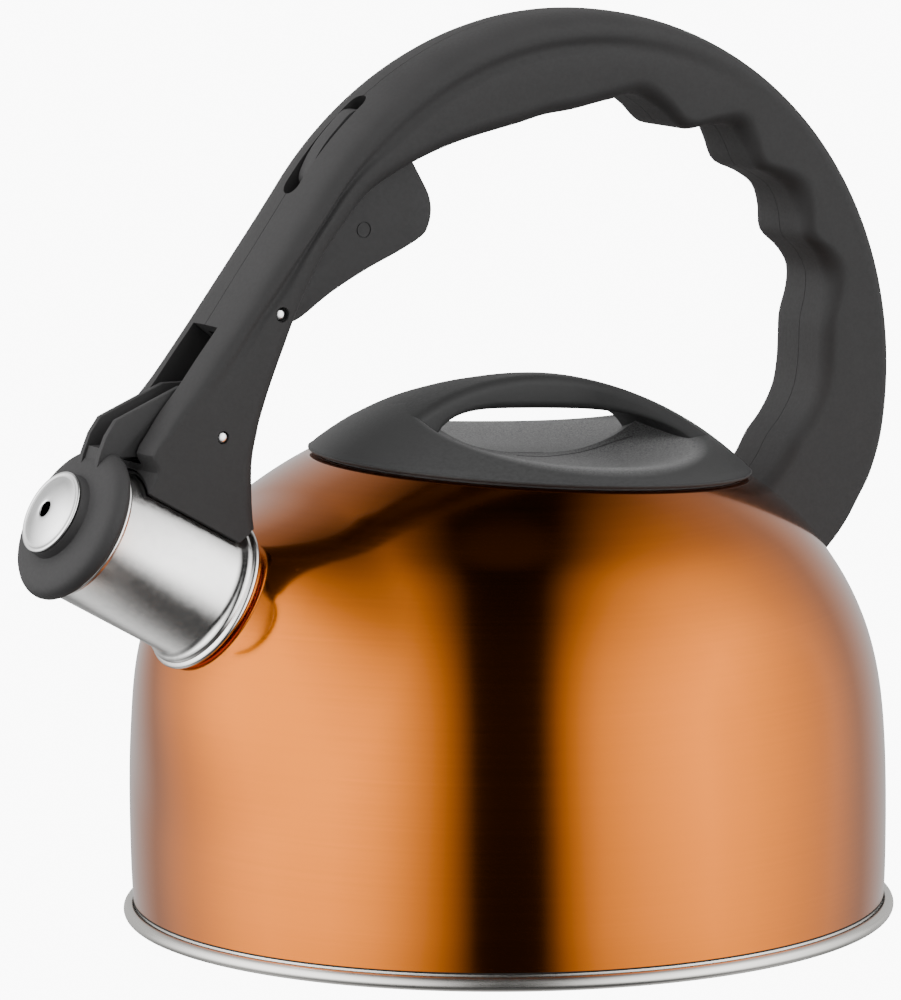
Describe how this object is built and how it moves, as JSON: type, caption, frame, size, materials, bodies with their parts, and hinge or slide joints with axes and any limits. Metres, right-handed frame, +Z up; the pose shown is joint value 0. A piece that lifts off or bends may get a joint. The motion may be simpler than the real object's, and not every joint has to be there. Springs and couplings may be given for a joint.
{
  "type": "stovetop whistling kettle",
  "caption": "Round stovetop kettle with a fixed arched handle, short tilted spout, trigger-opened whistling spout cap and a lift-off lid.",
  "frame": {"origin": "centre of the flat underside of the base cover, on the body's axis", "axes": "+Z up along the body's axis, -X toward the spout, handle in the XZ plane, +Y to the far side of the handle"},
  "size_m": [0.2585, 0.2038, 0.2384],
  "materials": {
    "copper_lacquer": "translucent copper-orange lacquer over brushed steel, glossy",
    "pan_steel": "brushed",
    "heat_disc_alloy": "plain rolled",
    "base_cover_steel": "spun",
    "spout_steel": "fine brushed",
    "handle_plastic": "fine matte grain, heat-proof phenolic",
    "lever_plastic": "fine matte grain",
    "lid_plastic": "matte, with a coarser grain in the finger scoops",
    "screw_steel": "plain zinc-bright",
    "bracket_steel": "plain",
    "pin_steel": "bright drawn",
    "spring_steel": "bright wire",
    "whistle_steel": "bright pressed sheet",
    "lid_plate_steel": "plain pressed sheet",
    "gasket_rubber": "matte",
    "silicone": "matte"
  },
  "bodies": {
    "kettle": {"body_shell": "copper_lacquer", "base_pan": "pan_steel", "heat_disc": "heat_disc_alloy", "base_cover": "base_cover_steel", "spout_tube": "spout_steel", "handle_near_half": "handle_plastic", "handle_far_half": "handle_plastic", "grip_screw_front": "screw_steel", "grip_screw_rear": "screw_steel", "front_foot_screw": "screw_steel", "rear_foot_screw": "screw_steel", "front_bracket": "bracket_steel", "rear_bracket": "bracket_steel", "front_gasket": "gasket_rubber", "rear_gasket": "gasket_rubber", "trigger_pin": "pin_steel", "cap_pin": "pin_steel", "return_spring": "spring_steel"},
    "trigger": {"trigger_lever": "lever_plastic"},
    "cap": {"cap_lever": "lever_plastic", "drive_peg": "pin_steel", "cap_gasket": "silicone", "whistle_face": "whistle_steel", "whistle_plate": "whistle_steel"},
    "lid": {"lid_cover": "lid_plastic", "lid_plate": "lid_plate_steel", "lid_seal": "silicone", "lid_screw_front": "screw_steel", "lid_screw_rear": "screw_steel"}
  },
  "joints": [
    {"name": "trigger_pivot", "type": "hinge", "parent": "kettle", "child": "trigger", "pos_m": [-0.075, 0, 0.1662], "axis": [0, -1, 0], "range_deg": [0, 13.2], "stiffness_Nm_per_rad": 0.35, "springref_deg": -17.19, "deforming": ["return_spring"]},
    {"name": "cap_pivot", "type": "hinge", "parent": "kettle", "child": "cap", "pos_m": [-0.093, 0, 0.1361], "axis": [0, 1, 0], "range_deg": [0, 36]},
    {"name": "lid_lift", "type": "slide", "parent": "kettle", "child": "lid", "axis": [0.0785, 0, 0.9969], "range_m": [0, 0.036]}
  ],
  "couplings": [
    {"joint": "cap_pivot", "follows": "trigger_pivot", "ratio": 2.727}
  ]
}
